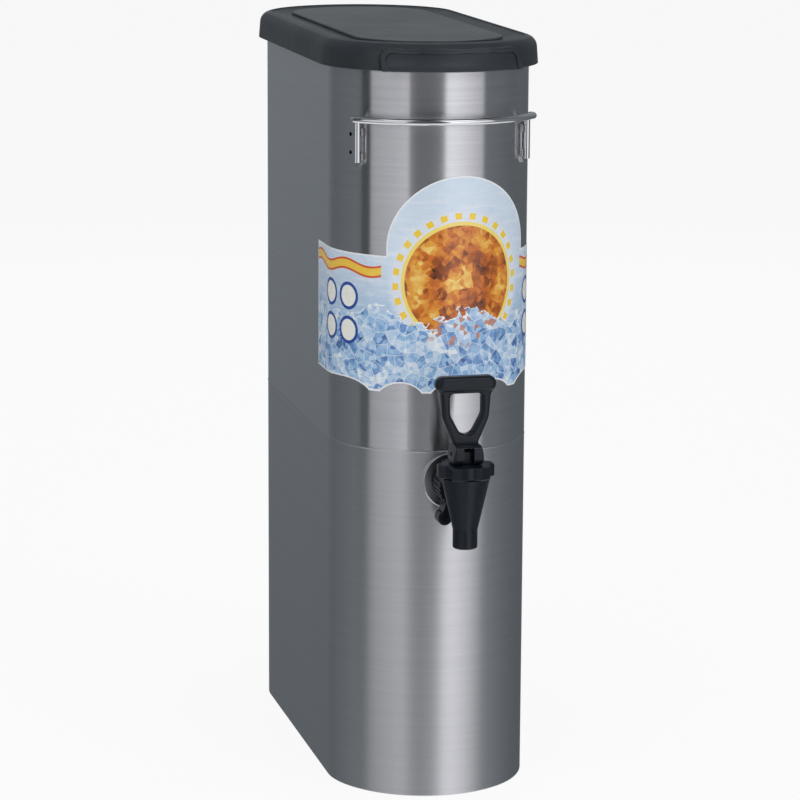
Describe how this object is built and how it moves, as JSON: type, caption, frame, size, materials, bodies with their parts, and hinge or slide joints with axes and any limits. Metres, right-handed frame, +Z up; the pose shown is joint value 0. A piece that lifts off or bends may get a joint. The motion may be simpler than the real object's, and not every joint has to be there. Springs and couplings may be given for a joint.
{
  "type": "iced tea dispenser",
  "caption": "Narrow stainless drink dispenser: round-nosed tank on a hollow base, charcoal lift-off lid, front wire carrying handle, and a black lever tap that closes by itself.",
  "frame": {"origin": "bottom centre of the whole envelope, on the counter the base stands on", "axes": "+Z up; the tap side faces -Y; +X to the right seen from the tap side"},
  "size_m": [0.161, 0.4241, 0.5545],
  "materials": {
    "brushed_steel": "fine brushed grain running round the tank, satin",
    "pan_steel": "drawn sheet, satin mill finish",
    "flange_steel": "turned satin face",
    "shank_steel": "turned",
    "ring_steel": "spring temper, bright",
    "spring_steel": "drawn wire",
    "pin_steel": "ground",
    "polished_wire": "electropolished round wire",
    "plate_steel": "satin sheet with two spot-weld dimples",
    "silicone": "translucent white, satin",
    "tap_plastic": "moulded, satin gloss near-black",
    "lid_plastic": "moulded, fine grain, charcoal",
    "printed_film": "printed vinyl film, pale blue with amber and white shapes"
  },
  "bodies": {
    "root": {"tank_wall": "brushed_steel", "base_skirt": "brushed_steel", "tank_floor": "pan_steel", "outlet_flange": "flange_steel", "outlet_shank": "shank_steel", "shank_washer": "silicone", "retaining_ring": "ring_steel", "wing_nut": "tap_plastic", "tap_body": "tap_plastic", "bonnet": "tap_plastic", "carry_handle": "polished_wire", "right_handle_plate": "plate_steel", "left_handle_plate": "plate_steel", "front_decal": "printed_film"},
    "valve": {"valve_stem": "tap_plastic", "seat_cup": "silicone", "return_spring": "spring_steel"},
    "lever": {"lever_handle": "tap_plastic", "handle_pin": "pin_steel"},
    "lid": {"lid": "lid_plastic"}
  },
  "joints": [
    {"name": "stem_lift", "type": "slide", "parent": "root", "child": "valve", "axis": [0, 0, 1], "range_m": [0, 0.0037], "deforming": ["return_spring", "seat_cup"]},
    {"name": "handle_tilt", "type": "hinge", "parent": "valve", "child": "lever", "pos_m": [0, -0.19253, 0.26825], "axis": [1, 0, 0], "range_deg": [0, 40], "stiffness_Nm_per_rad": 0.2, "springref_deg": -17.19},
    {"name": "lid_lift", "type": "slide", "parent": "root", "child": "lid", "axis": [0, 0, 1], "range_m": [0, 0.12]}
  ],
  "couplings": [
    {"joint": "stem_lift", "follows": "handle_tilt", "m_per_rad": 0.0048}
  ]
}
